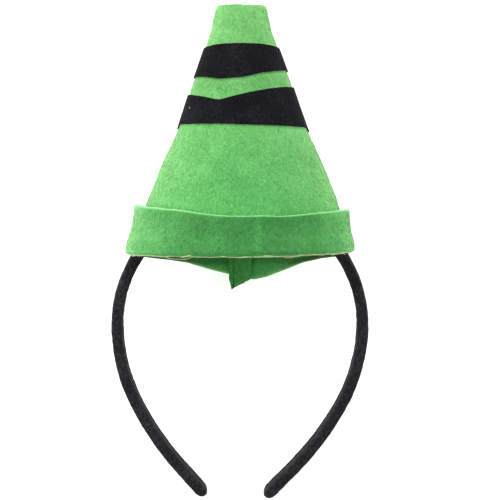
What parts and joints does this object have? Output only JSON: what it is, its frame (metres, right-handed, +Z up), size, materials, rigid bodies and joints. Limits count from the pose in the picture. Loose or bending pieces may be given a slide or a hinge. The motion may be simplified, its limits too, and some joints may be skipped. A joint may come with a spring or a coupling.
{
  "type": "crayon hat headband",
  "caption": "Lying costume headband: a fabric-covered hair band carrying a hollow green felt cone hat with a turned-up cuff and black felt bands, like a crayon.",
  "frame": {"origin": "middle of the footprint of the whole headpiece, on the surface that it lies on", "axes": "+Z up from the surface, out of the front of the hat, +Y along the length towards the tip of the hat, +X to the right seen from above"},
  "size_m": [0.1302, 0.2554, 0.0715],
  "materials": {
    "green_felt": "brushed craft felt with short fuzz",
    "black_felt": "flat black craft felt",
    "black_band": "short black velvety fabric wrapped round a plastic hair band"
  },
  "bodies": {
    "root": {"felt_hat": "green_felt", "upper_black_band": "black_felt", "lower_black_band": "black_felt", "headband": "black_band"}
  },
  "joints": []
}
